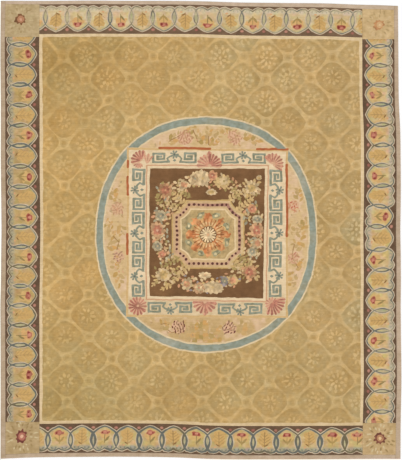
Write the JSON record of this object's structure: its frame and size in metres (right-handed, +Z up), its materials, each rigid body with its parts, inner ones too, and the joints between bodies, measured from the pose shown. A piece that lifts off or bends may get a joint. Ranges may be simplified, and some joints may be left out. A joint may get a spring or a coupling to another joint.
{
  "type": "aubusson carpet",
  "caption": "Large flat-woven wool carpet laid flat: gold trellis field with round and square medallion, ribbon-arcade borders, corner squares and a plain outer band.",
  "frame": {"origin": "centre of the underside, on the floor", "axes": "+X to the carpet's right, +Y towards its upper end, along the length, +Z up, out of the face"},
  "size_m": [4.01, 4.588, 0.003],
  "materials": {
    "field_wool": "matte tapestry-woven wool, gold with a woven trellis and medallion",
    "border_wool": "matte tapestry-woven wool, brown with cream, blue-grey and gold arcades",
    "corner_wool": "matte tapestry-woven wool, pale gold with a rosette",
    "band_wool": "matte plain-woven wool, pinkish taupe"
  },
  "bodies": {
    "root": {"field": "field_wool", "border_left": "border_wool", "border_right": "border_wool", "border_bottom": "border_wool", "border_top": "border_wool", "corner_bottom_left": "corner_wool", "corner_bottom_right": "corner_wool", "corner_top_left": "corner_wool", "corner_top_right": "corner_wool", "band_left": "band_wool", "band_right": "band_wool", "band_bottom": "band_wool", "band_top": "band_wool"}
  },
  "joints": []
}
